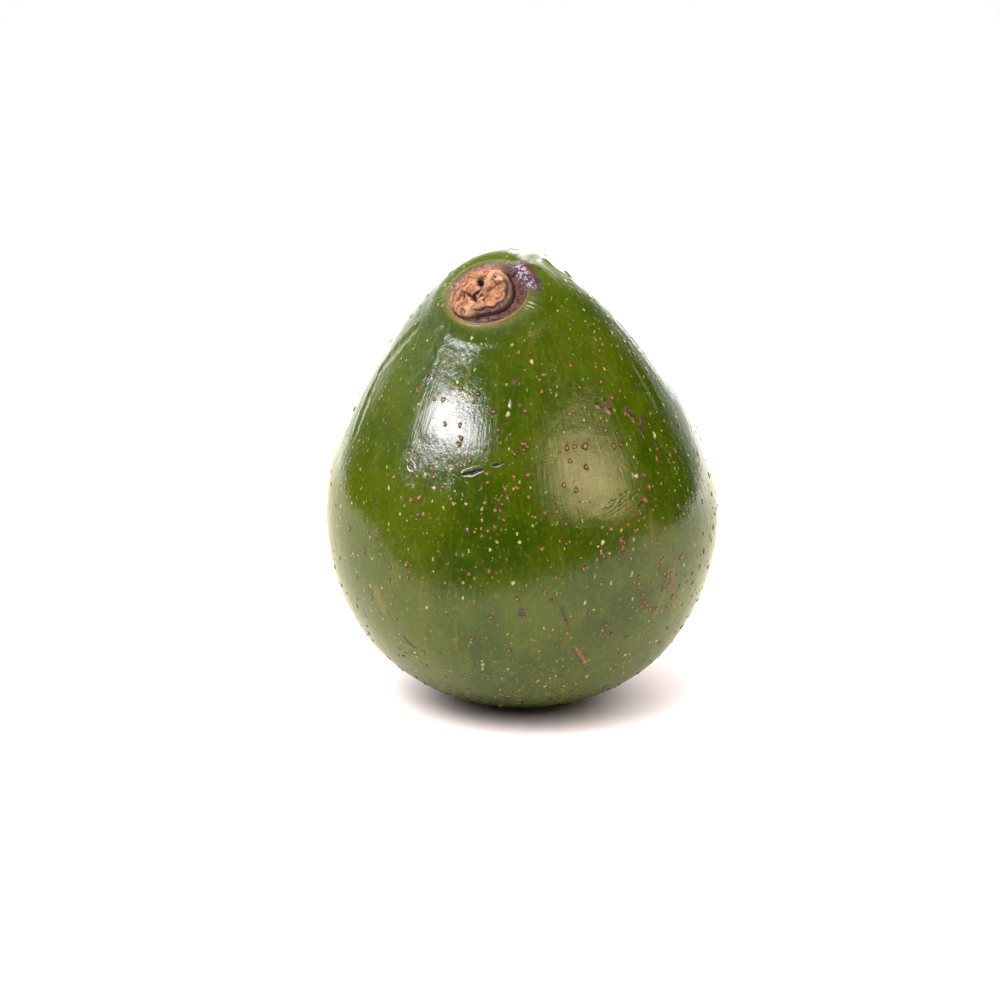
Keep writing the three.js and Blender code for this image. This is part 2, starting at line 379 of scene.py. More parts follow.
# Marks of the skin run from one pixel (column, row) to another; a negative depth is a raised one
# In carved slits, pits and cracks the dark paint is painted shade; on raised marks it is their own darker
# tone
marks = [
    {"start": (463, 475), "end": (482, 470), "width": 0.34, "depth": 0.6, "lip": 0.2, "dark": 1, "pale": 0.8},
    {"start": (492, 466), "end": (503, 463), "width": 0.2, "depth": 0.3, "lip": 0.1, "dark": 1, "pale": 0.6},
    {
        "start": (521, 611), "end": (523, 616), "width": 0.62, "depth": 0.45,
        "lip": 0.06, "plum": 1, "dark": 0.55,
    },
    {
        "start": (561, 608), "end": (567, 625), "width": 0.26, "depth": 0.2,
        "lip": 0.05, "dark": 0.7, "plum": 0.6,
    },
    {"start": (575, 647), "end": (587, 664), "width": 0.34, "depth": 0.15, "lip": 0.06, "rust": 1},
    {"start": (573, 649), "end": (583, 665), "width": 0.2, "depth": 0.12, "dark": 0.85},
    {"start": (585, 668), "end": (587, 671), "width": 0.34, "depth": 0.1, "plum": 0.9},
    {"start": (614, 671), "end": (618, 665), "width": 0.4, "depth": -0.12, "plum": 0.8},
    {"start": (605, 402), "end": (610, 412), "width": 0.55, "depth": -0.12, "plum": 1},
    {"start": (625, 407), "end": (633, 419), "width": 0.5, "depth": -0.12, "plum": 1, "dark": 0.3},
    {"start": (640, 418), "end": (644, 427), "width": 0.4, "depth": -0.12, "plum": 1},
    {"start": (638, 422), "end": (643, 435), "width": 0.36, "depth": -0.1, "plum": 0.9, "dark": 0.3},
    {"start": (596, 405), "end": (600, 406), "width": 0.38, "depth": -0.1, "plum": 0.7},
    {"start": (653, 441), "end": (657, 448), "width": 0.2, "depth": 0.1, "plum": 0.8, "dark": 0.4},
    {"start": (643, 501), "end": (640, 505), "width": 0.42, "depth": 0.15, "dark": 0.85},
    {"start": (404, 637), "end": (415, 648), "width": 0.36, "depth": 0.2, "dark": 0.5, "plum": 0.7},
    {"start": (459, 675), "end": (472, 679), "width": 0.5, "depth": 0.05, "plum": 0.5},
    {"start": (546, 698), "end": (562, 696), "width": 0.7, "depth": -0.05, "plum": 0.6, "dark": 0.2},
    {"start": (556, 675), "end": (563, 676), "width": 0.4, "depth": 0.05, "plum": 0.5},
    {"start": (620, 540), "end": (627, 553), "width": 0.22, "depth": 0.05, "cork": 0.2, "rust": 0.15},
    {"start": (510, 400), "end": (510, 408), "width": 0.2, "depth": -0.12, "pale": 0.35},
    {"start": (514, 381), "end": (518, 383), "width": 0.45, "depth": -0.1, "cork": 0.3, "plum": 0.9},
    {
        "start": (409, 466), "end": (413, 468), "width": 0.42, "depth": 0.12,
        "lip": 0.12, "plum": 0.8, "pale": 0.9,
    },
    {"start": (544, 259), "end": (551, 265), "width": 0.3, "depth": 0.25, "lip": 0.1, "pale": 0.5},
    {
        "start": (427, 380), "end": (431, 374), "width": 0.34, "depth": 0.12,
        "lip": 0.12, "plum": 0.7, "pale": 0.7,
    },
    {"start": (650, 509), "end": (652, 536), "width": 0.4, "cork": 0.25},
    {"start": (676, 560), "end": (670, 588), "width": 0.4, "cork": 0.3},
    {"start": (664, 592), "end": (653, 620), "width": 0.5, "cork": 0.3},
    {"start": (671, 566), "end": (673, 606), "width": 0.32, "rust": 0.28},
    {"start": (376, 588), "end": (384, 612), "width": 0.9, "cork": 0.3},
    {"start": (467, 531), "end": (468, 533), "width": 0.42, "depth": -0.12, "plum": 1, "dark": 0.4},
]
# Shallow folds down the shoulders, which need no finer mesh
folds = [
    {"start": (418, 326), "end": (379, 372), "width": 1.1, "depth": 0.19, "lip": 0.07},
    {"start": (377, 378), "end": (354, 438), "width": 0.9, "depth": 0.16, "lip": 0.08},
    {"start": (446, 326), "end": (408, 378), "width": 1.3, "depth": 0.14, "lip": 0.06},
    {"start": (434, 350), "end": (420, 376), "width": 1.0, "depth": 0.12, "lip": 0.05},
    {"start": (636, 366), "end": (659, 408), "width": 1.0, "depth": 0.14, "lip": 0.06},
]
# Fine dashes of a crackled scar, in rows that all run the same way
crackle = {
    "column": 617, "row": 504, "dashes": 5, "rows": 4, "step": 6.2, "gap": 3.4, "turn": -40,
    "length": 3.4, "seed": 3,
}
crackleDraw = random.Random(crackle["seed"])
for i in range(crackle["dashes"] * crackle["rows"]):
    along = crackle["step"] * (i % crackle["dashes"] - 0.5 * crackle["dashes"] + crackleDraw.random())
    across = crackle["gap"] * (i // crackle["dashes"] - 1.5 + 0.6 * crackleDraw.random())
    turn = math.radians(crackle["turn"])
    bend = turn + 0.5 * (crackleDraw.random() - 0.5)
    column = crackle["column"] + along * math.cos(turn) - across * math.sin(turn)
    row = crackle["row"] + along * math.sin(turn) + across * math.cos(turn)
    length = crackle["length"] * (0.5 + crackleDraw.random())
    dash = {"start": (column, row), "end": (column + length * math.cos(bend), row + length * math.sin(bend))}
    # The dashes' dark paint is painted shade in the cracks
    marks.append({**dash, "width": 0.13, "depth": 0.12, "lip": 0.05, "dark": 0.45})

# How far each paint reaches, as a share of its mark's width
paints = {"plum": 1.15, "rust": 1.05, "cork": 1.15, "pale": 1.1, "dark": 0.9}
stroke = {"waver": 0.22, "waverRate": 2.3, "slim": 0.55, "lipAt": 1.7, "lipWidth": 0.55, "glintAt": 1.6}


def placeMark(surface, mark):
    start, normal = cast(surface, mark["start"])
    end, _ = cast(surface, mark["end"])
    run = end - start
    run -= normal * (run @ normal)
    half = np.linalg.norm(run) / 2
    along = run / (2 * half)
    facts = {"centre": (start + end) / 2, "half": half, "along": along, "across": np.cross(normal, along)}
    return {"depth": 0, "lip": 0, **mark, **facts}


def carveMark(points, normals, mark, painted):
    width = mark["width"]
    offset = points - mark["centre"]
    near = np.linalg.norm(offset, axis=1) < mark["half"] + 5 * width + 0.5
    offset = offset[near]
    along = offset @ mark["along"]
    waver = stroke["waver"] * width * np.sin(stroke["waverRate"] * along + mark["half"])
    across = offset @ mark["across"] + waver
    beyond = np.maximum(np.abs(along) - mark["half"], 0)
    slim = 1 - stroke["slim"] * np.clip(np.abs(along) / (mark["half"] + width), 0, 1) ** 2
    away = np.hypot(across, beyond) / (width * slim)
    rim = hill(away - stroke["lipAt"], stroke["lipWidth"]) * mark["lip"]
    points[near] += normals[near] * (rim - mark["depth"] * hill(away, 1))[:, None]
    for name, reach in paints.items():
        value = mark.get(name, 0)
        # On a mark with a lip, the pale paint is a painted highlight along one side of the lip, not the
        # skin's own colour
        if name == "pale" and mark["lip"] > 0:
            value = value * hill(away - stroke["glintAt"], 0.35) * smooth(-across, 0, 0.2)
        else:
            value = value * hill(away, reach)
        painted[name][near] = np.maximum(painted[name][near], value)


# The scab's paint runs along the ring's right side, a little beyond the raised part
crust = {"u": 7.9, "v": 2.3, "turn": 23, "across": 1.7, "along": 4.4}
# Bands and fans of fine ticks round the stem scar, by their share of the ring's outline
bands = {
    "edge": {"share": 1.0, "width": 0.03},
    "rim": {"share": 1.04, "width": 0.02},
    "halo": {"share": 1.08, "width": 0.13},
}
tickFans = [
    {"strength": 0.6, "share": 1.12, "width": 0.07, "angle": 1.05, "spread": 0.3},
    {"strength": 0.75, "share": 1.2, "width": 0.09, "angle": -0.52, "spread": 0.13},
    {"strength": 0.35, "share": 1.2, "width": 0.12, "angle": 2.75, "spread": 0.35},
]


def skinMasks(own):
    u, v, _ = ((own - facetCentre) @ facetAxes.T).T
    upper = own[:, 2] > skin["upperFrom"]
    ringShare = np.where(upper, shareOf(ringOutline, u, v), 9)
    angle = np.arctan2(v, u)
    low = 0.5 - 0.5 * np.sin(angle + 0.2)
    matt = smooth(np.cos(angle - 2.3), 0.1, 0.75)
    ring = {name: hill(ringShare - band["share"], band["width"]) for name, band in bands.items()}
    teeth = smooth(np.cos(angle * skin["teeth"] + 3 * np.sin(angle * 9)), 0.35, 0.95)
    ticks = 0
    for fan in tickFans:
        band = fan["strength"] * hill(ringShare - fan["share"], fan["width"])
        ticks = ticks + band * hill(angle - fan["angle"], fan["spread"])
    across, along = patchPlace(crust, u, v)
    ragged = 0.12 * np.sin(3.1 * along + 1.7 * across) + 0.08 * np.sin(7.3 * along)
    inside = smooth(-np.hypot(across / crust["across"], along / crust["along"]) + ragged, -1.2, -0.75)
    # The pale beads, on one side of the scab, are painted highlights on its bumps
    pale = smooth(-across, -0.85, 0.1) * smooth(along, -4.3, -2.5)
    brown = hill(np.hypot((across - 0.8) / 0.9, (along - 1.6) / 2.0), 1) * upper
    return {
        "collar": 1 - smooth(ringShare, 0.97, 1.02),
        "matt": matt * (1 - smooth(ringShare, 0.98, 1.06)),
        "nearRing": hill(np.maximum(ringShare - 1, 0), 0.4) * smooth(ringShare, 0.8, 1.0),
        "edge": ring["edge"] * (1 - matt),
        "rim": ring["rim"] * (0.12 + 0.88 * low**2),
        "halo": ring["halo"] * (0.12 + 0.8 * low**2),
        "ticks": teeth * ticks,
        "crust": inside * upper,
        "bead": pale * inside * upper,
        "brownScab": brown * inside,
    }


def buildSkin(material):
    bm, mesh = roundBlank("avocadoSkin", skin)
    sphere = readVectors(mesh, "co")
    polar = np.arccos(np.clip(sphere[:, 2], -1, 1))
    around = np.arctan2(sphere[:, 1], sphere[:, 0])
    # The rings crowd together towards the stem scar
    crowded = polar - skin["crowding"] * np.sin(polar)
    d = np.stack([np.sin(crowded) * np.cos(around), np.sin(crowded) * np.sin(around), np.cos(crowded)], 1)
    turned = Vector((0, 0, 1)).rotation_difference(Vector(scarDirection)).to_matrix()
    points = atRest(skinPoints(d @ np.array(turned).T))
    for vertex, place in zip(bm.verts, points * mm):
        vertex.co = place
    bm.normal_update()
    surface = BVHTree.FromBMesh(bm)
    placed = [placeMark(surface, mark) for mark in marks]
    fine = np.zeros(len(points), bool)
    for mark in placed:
        reach = mark["half"] + skin["markMargin"] + mark["width"]
        fine |= np.linalg.norm(points - mark["centre"], axis=1) < reach
    edges = [e for e in bm.edges if fine[e.verts[0].index] and fine[e.verts[1].index]]
    bmesh.ops.subdivide_edges(bm, edges=edges, cuts=skin["markCuts"], use_grid_fill=True)
    bmesh.ops.recalc_face_normals(bm, faces=bm.faces)
    # One order of points and faces in every run
    sorting = Vector((1, 0.37, 0.71))
    bm.verts.sort(key=lambda vertex: vertex.co.dot(sorting))
    bm.faces.sort(key=lambda face: face.calc_center_median().dot(sorting))
    bm.to_mesh(mesh)
    bm.free()
    points = readVectors(mesh, "co") / mm
    normals = readVectors(mesh, "normal")
    masks = {name: np.zeros(len(points)) for name in paints}
    for mark in placed + [placeMark(surface, fold) for fold in folds]:
        carveMark(points, normals, mark, masks)
    points[:, 2] = np.maximum(points[:, 2], 0)
    writePoints(mesh, points * mm)
    own = ownFrame(points)
    masks.update(skinMasks(own))
    for name, values in masks.items():
        writeLayer(mesh, name, values)
    outward = own[:, :2] / np.maximum(np.linalg.norm(own[:, :2], axis=1), 0.5)[:, None]
    writeLayer(mesh, "grain", np.column_stack([outward, own[:, 2] / body["radius"]]))
    print("skin:", len(mesh.polygons), "faces")
    addPiece("avocadoSkin", mesh, material, "fruit")
    return surface


skinColours = {
    "deep": (0.020, 0.040, 0.0002), "fresh": (0.0435, 0.064, 0.0006),
    "mottle": (0.064, 0.085, 0.0033), "paleGrit": (0.123, 0.119, 0.016),
    "darkGrit": (0.016, 0.029, 0.0008), "veins": (0.107, 0.098, 0.0098),
    "smudges": (0.123, 0.086, 0.025), "dots": (0.303, 0.287, 0.082),
    "woodyDark": (0.012, 0.0035, 0.006), "woodyPale": (0.11, 0.044, 0.032),
    "woodyFaded": (0.12, 0.066, 0.068), "halo": (0.205, 0.131, 0.012), "rim": (0.344, 0.18, 0.082),
    "ticks": (0.451, 0.435, 0.279), "tornDark": (0.107, 0.041, 0.029),
    "tornPale": (0.344, 0.164, 0.098), "edge": (0.025, 0.011, 0.011),
    # beads is the colour of painted highlights on the scab's bumps
    "crust": (0.049, 0.018, 0.033), "brownScab": (0.082, 0.025, 0.015), "beads": (0.42, 0.35, 0.42),
    "cork": (0.213, 0.123, 0.049), "rust": (0.2, 0.05, 0.022), "plumDark": (0.033, 0.009, 0.013),
    # pale is the pale paint of marks; on marks with a lip it is a painted highlight
    "plumPale": (0.156, 0.061, 0.049), "pale": (0.492, 0.41, 0.394),
    # dark is painted shade in carved slits, pits and cracks, and a darker tone of raised marks
    "dark": (0.015, 0.0049, 0.0082),
}


def lenticels(tree, vector, scale, hidden, reach):
    cells = cellsOf(tree, vector, scale)
    draws = addNode(tree, "SeparateColor", {0: cells.outputs["Color"]}).outputs
    size = ramp(tree, draws[0], 0.2, 1.0, 0.45 * reach, reach)
    dots = ramp(tree, calculate(tree, "SUBTRACT", size, cells.outputs["Distance"]), 0.0, 0.035)
    return times(tree, dots, ramp(tree, draws[1], hidden, hidden + 0.4))


# Small pale dots, gathered in loose clusters
def paleDots(tree, place, stretched):
    wander = addNode(tree, "TexNoise", {"Vector": place, "Scale": 1800, "Detail": 1}).outputs["Color"]
    shifts = {0: scaled(tree, wander, [0.0007] * 3), 1: stretched}
    uneven = addNode(tree, "VectorMath", shifts, operation="ADD").outputs[0]
    cluster = ramp(tree, noiseOf(tree, scaled(tree, stretched, (1, 1, 0.55)), 130, 2), 0.4, 0.62, 0.25, 1)
    large = lenticels(tree, uneven, 560, 0.3, 0.16)
    small = lenticels(tree, scaled(tree, uneven, (0.9, 0.9, 1.1)), 930, 0.1, 0.23)
    return calculate(tree, "MAXIMUM", large, times(tree, small, cluster))


# Streaks that run from the stem end down the fruit
def streaks(tree, grain, around, down, detail=3, roughness=0.6):
    return noiseOf(tree, scaled(tree, grain, (around, around, down)), 1, detail, roughness)


def skinMaterial():
    material, tree, shader, place = newMaterial("avocadoSkin")
    paint = dict(skinColours)
    grain = attribute(tree, "grain", "Vector")
    stretched = scaled(tree, place, (1, 1, 0.6))
    patches = noiseOf(tree, place, 55, 3)
    mottle = noiseOf(tree, stretched, 260, 4, 0.6)
    grit = noiseOf(tree, scaled(tree, place, (1, 1, 0.7)), 1500, 3, 0.6)
    coarse = streaks(tree, grain, 30, 4)
    fine = streaks(tree, grain, 95, 6)
    smudges = streaks(tree, grain, 62, 13)
    veins = streaks(tree, grain, 13, 1.6, 4, 0.62)
    dots = paleDots(tree, place, stretched)
    # Painted highlights on the scab's bumps, which also give a little relief
    beads = ramp(tree, cellsOf(tree, place, 1800).outputs["Distance"], 0.62, 0.3)
    beads = times(tree, beads, attribute(tree, "bead"))
    # The collar: dark and woody, faded in patches, torn and matt on one side
    woody = ramp(tree, noiseOf(tree, place, 900, 4, 0.7), 0.36, 0.64)
    woody = mixColour(tree, woody, paint["woodyDark"], paint["woodyPale"])
    faded = times(tree, ramp(tree, patches, 0.42, 0.62, 0.1, 0.6), ramp(tree, grit, 0.35, 0.6))
    paint["collar"] = mixColour(tree, faded, woody, paint["woodyFaded"])
    fibres = ramp(tree, creasesOf(tree, place, 600, 3, 0.6), 0.0, 0.045, 0.1, 1)
    torn = times(tree, ramp(tree, grit, 0.35, 0.62), fibres)
    paint["matt"] = mixColour(tree, torn, paint["tornDark"], paint["tornPale"])
    paint["plum"] = mixColour(tree, ramp(tree, grit, 0.45, 0.68), paint["plumDark"], paint["plumPale"])
    colour = mixColour(tree, ramp(tree, patches, 0.35, 0.68), paint["deep"], paint["fresh"])
    shares = {
        "mottle": ramp(tree, mottle, 0.45, 0.75, 0, 0.45),
        "paleGrit": ramp(tree, grit, 0.52, 0.78, 0, 0.4),
        "darkGrit": ramp(tree, grit, 0.44, 0.28, 0, 0.35),
        "veins": ramp(tree, veins, 0.58, 0.74, 0, 0.4),
        "smudges": ramp(tree, smudges, 0.6, 0.76, 0, 0.55),
        "dots": times(tree, dots, 0.9),
        "halo": times(tree, attribute(tree, "halo"), 0.5),
        "rim": None,
        "ticks": None,
        "collar": None,
        "matt": times(tree, attribute(tree, "matt"), 0.9),
        "edge": None,
        "crust": None,
        "brownScab": None,
        "beads": times(tree, beads, 0.85),
        **dict.fromkeys(("cork", "rust", "plum", "pale", "dark")),
    }
    colour = overlay(tree, colour, paint, shares)
    # Relief: broad unevenness, streaks along the fruit, and patches of fine crinkles
    crinkled = ramp(tree, noiseOf(tree, place, 95, 2), 0.48, 0.62)
    height = times(tree, times(tree, creasesOf(tree, scaled(tree, place, (1, 1, 1.4)), 1250), crinkled), 0.55)
    layers = [
        (patches, 4.0),
        (coarse, 0.45),
        (fine, 0.26),
        (grit, 0.34),
        (noiseOf(tree, stretched, 330, 2), 0.8),
        (dots, 0.25),
        (beads, 1.5),
        (noiseOf(tree, place, 2300, 2), times(tree, attribute(tree, "collar"), 1.2)),
    ]
    normal = bump(tree, stack(tree, height, layers), 0.0001)
    painted = calculate(tree, "MAXIMUM", attribute(tree, "plum"), attribute(tree, "rust"))
    painted = calculate(tree, "MAXIMUM", attribute(tree, "dark"), painted)
    layers = [
        (dots, 0.25),
        (attribute(tree, "nearRing"), 0.2),
        (attribute(tree, "matt"), 0.2),
        (painted, 0.15),
    ]
    rough = stack(tree, ramp(tree, fine, 0.3, 0.7, 0.085, 0.15), layers)
    setInputs(tree, shader, {"Base Color": colour, "Roughness": rough, "Normal": normal, "IOR": 1.5})
    return material


# Stem wood: a closed blank, spread to its outline, torn on top and split from its bark at the lower right
wood = {
    "around": 176, "rings": 120, "top": 1.4, "rim": 1.1, "root": -2.6, "lean": -0.08, "chip": 0.62,
    "chipSize": 1.3, "barkShare": 0.87, "barkDepth": 0.55, "barkFallen": 0.45, "barkTowards": -42,
    "crackDepth": 0.1, "seed": 1795486713,
}
woodProfile = {
    "turn": [0, 0.5, 0.56, 0.64, 0.74, 0.84, 0.9, 1],
    "share": [0, 0.9, 0.97, 1.015, 1.03, 0.94, 0.8, 0],
    "height": [wood["top"], wood["top"], wood["rim"], 0.6, -0.2, -1.2, wood["root"], wood["root"]],
}
tornWaves = [
    {"u": 2.6, "v": 1.1, "start": 0.4, "height": 0.16},
    {"u": -0.9, "v": 2.7, "start": 1.1, "height": 0.16},
    {"u": 3.4, "v": -2.6, "start": 2.2, "height": 0.1},
]
tornPit = {"u": -0.9, "v": 2.4, "reach": 0.8, "depth": 1.6}
tornSlit = {"u": -4.5, "v": -0.3, "across": 0.25, "along": 0.8, "depth": 0.6}
tornRidge = {"start": (2.1, 3.3), "end": (-0.6, -0.6), "reach": 0.75, "change": 0.7}
tornCuts = [
    {"start": (-3.7, 0.2), "end": (-1.9, -2.2), "reach": 0.3, "change": -0.7},
    {"start": (-2.8, -1.1), "end": (-1.6, 0.3), "reach": 0.26, "change": -0.55},
    {"start": (-0.6, 1.9), "end": (-1.6, -0.2), "reach": 0.22, "change": -0.4},
    {"start": (0.2, -0.4), "end": (2.6, 1.0), "reach": 0.2, "change": -0.35},
    {"start": (-3.4, -3.0), "end": (-0.6, -2.6), "reach": 0.18, "change": -0.3},
]


def strokeAt(cut, u, v):
    startU, startV = cut["start"]
    run = np.array([cut["end"][0] - startU, cut["end"][1] - startV])
    offset = (u - startU) * run[0] + (v - startV) * run[1]
    along = np.clip(offset / (run @ run), 0, 1)
    ragged = 0.12 * np.sin(4.3 * (u + v)) + 0.08 * np.sin(9.1 * (u - v))
    away = np.hypot(u - startU - along * run[0], v - startV - along * run[1])
    return hill(away + ragged * smooth(away, 0, 0.3), cut["reach"])


# Chips of the torn wood: slanted cells, longer along the fibres, with cracks between them
def chipsAt(u, v):
    size = wood["chipSize"]
    # Without a seed the slopes would differ from run to run
    noise.seed_set(wood["seed"])
    levels = np.zeros(len(u))
    heights = np.zeros(len(u))
    cracks = np.zeros(len(u))
    for i, (a, b) in enumerate(zip(u, v)):
        bent = 0.35 * noise.noise(Vector((a * 1.1, b * 1.1, 4.1)))
        at = Vector(((a * 0.76 - b * 0.65) / size + bent, (b * 0.76 + a * 0.65) / (size * 2.1) + bent, 2.3))
        distances, places = noise.voronoi(at)
        slope = noise.noise_vector(places[0] * 2.9)
        levels[i] = noise.noise(places[0] * 3.7)
        heights[i] = 1.5 * levels[i] + 1.5 * slope.dot(at - places[0])
        heights[i] += 0.22 * noise.noise(Vector((a * 5.9 - b * 4.1, a * 1.3 + b * 1.7, 7.7)))
        cracks[i] = distances[1] - distances[0]
    return levels, heights, cracks


def buildWood(material):
    bm, mesh = roundBlank("stemWood", wood)
    bm.free()
    sphere = readVectors(mesh, "co")
    turn = np.arccos(np.clip(sphere[:, 2], -1, 1)) / math.pi
    angle = np.arctan2(sphere[:, 1], sphere[:, 0])
    share = np.interp(turn, woodProfile["turn"], woodProfile["share"])
    height = np.interp(turn, woodProfile["turn"], woodProfile["height"])
    radius = share * outlineRadius(buttonOutline, angle)
    shift = wood["lean"] * np.maximum(height, 0)
    u = buttonOutline["u"] + radius * np.cos(angle) + shift
    v = buttonOutline["v"] + radius * np.sin(angle) - shift
    top = smooth(height, wood["rim"] - 0.5, wood["top"])
    levels, chips, cracks = chipsAt(u, v)
    waves = sum(w["height"] * np.sin(w["u"] * u + w["v"] * v + w["start"]) for w in tornWaves)
    ragged = 0.25 * np.sin(3.1 * u + 1.3 * v) + 0.15 * np.sin(6.7 * v - 2.9 * u)
    pit = hill(np.hypot(u - tornPit["u"], v - tornPit["v"]) + ragged, tornPit["reach"])
    acrossSlit = (u - tornSlit["u"]) / tornSlit["across"]
    slit = hill(np.hypot(acrossSlit, (v - tornSlit["v"]) / tornSlit["along"]), 1)
    ridge = strokeAt(tornRidge, u, v)
    cuts = sum(cut["change"] * strokeAt(cut, u, v) for cut in tornCuts)
    crackLine = 1 - smooth(cracks, 0.01, 0.09)
    side = smooth(np.cos(angle - math.radians(wood["barkTowards"])), 0.05, 0.55)
    split = hill(share - wood["barkShare"], 0.035) * side
    bark = smooth(share, wood["barkShare"] - 0.01, wood["barkShare"] + 0.04) * side
    torn = waves + wood["chip"] * chips * (1 - bark) + tornRidge["change"] * ridge + cuts
    torn = torn - tornPit["depth"] * pit - tornSlit["depth"] * slit
    torn = torn - wood["crackDepth"] * crackLine * (1 - bark)
    torn = torn - wood["barkDepth"] * split - wood["barkFallen"] * bark
    height = height + torn * top
    points = np.stack([u, v, height], 1) @ facetAxes + facetCentre
    writePoints(mesh, atRest(points) * mm)
    # Cuts, cracks and low chips are painted darker: painted shade in the hollows
    deep = np.clip(-1.5 * cuts + crackLine * 0.55 + smooth(-chips, 0.3, 0.9) * 0.6, 0, 1)
    masks = {
        # The pit and slit are painted near black, and the split between wood and bark dark: painted shade in
        # them
        "pit": np.clip(pit * 1.6 + slit * 1.3, 0, 1) * top,
        "hollow": deep * top * (1 - bark),
        "level": 0.5 + levels,
        "split": split,
        "bark": bark,
        # The torn ridge is paler wood; the higher chips are painted lighter too, which is painted light on
        # the raised parts
        "ridge": np.clip(ridge + smooth(chips, 0.15, 0.6) * 0.5, 0, 1) * top,
        "side": 1 - smooth(height, -0.3, 0.9),
    }
    for name, values in masks.items():
        writeLayer(mesh, name, values)
    writeLayer(mesh, "fibre", np.stack([u * 0.8 + v * 0.5, v * 0.8 - u * 0.5, height], 1))
    print("stem wood:", len(mesh.polygons), "faces")
    addPiece("stemWood", mesh, material, "stem_button")


woodColours = {
    "strandsDark": (0.24, 0.086, 0.037), "strandsPale": (0.44, 0.196, 0.092),
    "chips": (0.492, 0.271, 0.148), "blotches": (0.18, 0.041, 0.021),
    # ridge is paler wood on the torn ridge and painted light on the higher chips; creases is painted shade
    "ridge": (0.459, 0.254, 0.131), "creases": (0.085, 0.025, 0.016),
    "barkDark": (0.049, 0.021, 0.02), "barkPale": (0.131, 0.074, 0.037),
    # hollow, split and pit are painted shade
    "side": (0.082, 0.037, 0.033), "hollow": (0.07, 0.016, 0.011), "split": (0.025, 0.0098, 0.016),
    "pit": (0.0049, 0.0025, 0.0025),
}


def woodMaterial():
    material, tree, shader, place = newMaterial("stemWood")
    paint = dict(woodColours)
    fibre = attribute(tree, "fibre", "Vector")
    strands = noiseOf(tree, scaled(tree, fibre, (5.5, 1.2, 2)), 1, 4, 0.65)
    blotches = noiseOf(tree, place, 700, 3, 0.6)
    # Thin crease lines, painted darker as shade in them
    creases = creasesOf(tree, scaled(tree, place, (1, 1, 1.6)), 620, 3, 0.6)
    paint["bark"] = mixColour(tree, ramp(tree, strands, 0.35, 0.65), paint["barkDark"], paint["barkPale"])
    colour = mixColour(tree, ramp(tree, strands, 0.3, 0.7), paint["strandsDark"], paint["strandsPale"])
    shares = {
        "chips": ramp(tree, attribute(tree, "level"), 0.5, 0.85, 0, 0.75),
        "blotches": ramp(tree, blotches, 0.52, 0.75, 0, 0.6),
        # Paler ridge wood, and painted light on the higher chips
        "ridge": times(tree, attribute(tree, "ridge"), 0.6),
        # Painted shade in the creases
        "creases": ramp(tree, creases, 0.0, 0.016, 0.55, 0),
        "bark": None,
        "side": times(tree, attribute(tree, "side"), 0.85),
        # Painted shade in the hollows, the split, the pit and the slit
        **dict.fromkeys(("hollow", "split", "pit")),
    }
    colour = overlay(tree, colour, paint, shares)
    normal = bump(tree, strands, 0.00012)
    normal = bump(tree, blotches, 0.00006, below=normal)
    normal = bump(tree, ramp(tree, creases, 0.0, 0.04), 0.00003, below=normal)
    rough = ramp(tree, strands, 0.3, 0.7, 0.62, 0.8)
    setInputs(tree, shader, {"Base Color": colour, "Roughness": rough, "Normal": normal})
    setInputs(tree, shader, {"Specular IOR Level": 0.35})
    return material


